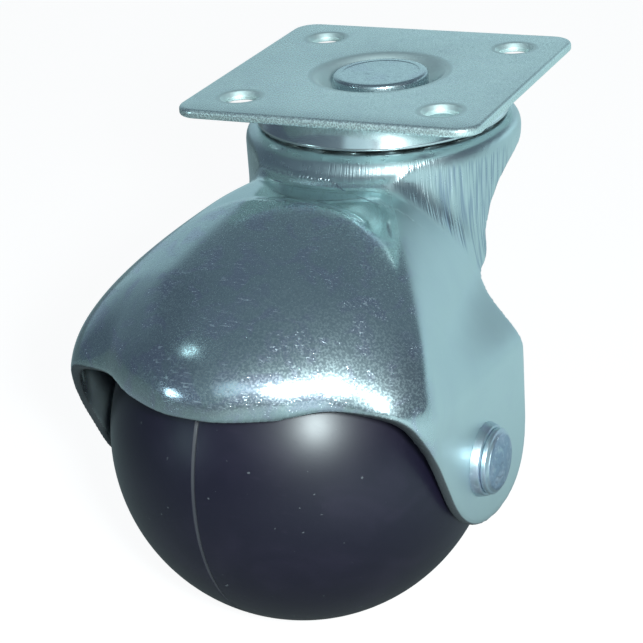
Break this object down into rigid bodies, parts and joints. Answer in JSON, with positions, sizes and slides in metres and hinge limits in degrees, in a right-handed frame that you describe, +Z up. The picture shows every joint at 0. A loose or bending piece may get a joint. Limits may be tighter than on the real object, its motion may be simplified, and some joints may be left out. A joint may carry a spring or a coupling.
{
  "type": "furniture caster",
  "caption": "Swivel furniture caster: a square screw plate carries a drawn metal hood over a ball-shaped wheel, turning on ball races.",
  "frame": {"origin": "middle of the screw plate's top face, on the swivel axis", "axes": "+Z up, out of the plate's top face; X and Y along the plate's sides; the hood's nose points towards -Y"},
  "size_m": [0.0569, 0.0765, 0.0649],
  "materials": {
    "zinc_sheet": "zinc plated sheet, pale blue-grey satin",
    "zinc_hood": "zinc plated drawn sheet, bright with fine spangle and scratches",
    "bright_race": "bright plated pressing",
    "zinc_pin": "zinc plated turned steel",
    "bearing_steel": "polished bearing balls",
    "black_plastic": "moulded black plastic with a soft sheen"
  },
  "bodies": {
    "plate": {"top_plate": "zinc_sheet", "kingpin": "zinc_pin", "upper_race": "bright_race", "lower_race": "zinc_pin", "lower_balls": "bearing_steel"},
    "fork": {"hood_fork": "zinc_hood", "upper_balls": "bearing_steel", "spanner_bush": "zinc_pin", "axle_rivet": "zinc_pin", "axle_washer_left": "zinc_pin", "axle_washer_right": "zinc_pin"},
    "wheel": {"wheel_left_half": "black_plastic", "wheel_right_half": "black_plastic"}
  },
  "joints": [
    {"name": "swivel", "type": "hinge", "parent": "plate", "child": "fork", "pos_m": [0, 0, 0], "axis": [0, 0, 1], "continuous": true},
    {"name": "wheel_spin", "type": "hinge", "parent": "fork", "child": "wheel", "pos_m": [-0.00193, -0.02753, -0.0399], "axis": [0.9976, -0.0698, 0], "continuous": true}
  ]
}
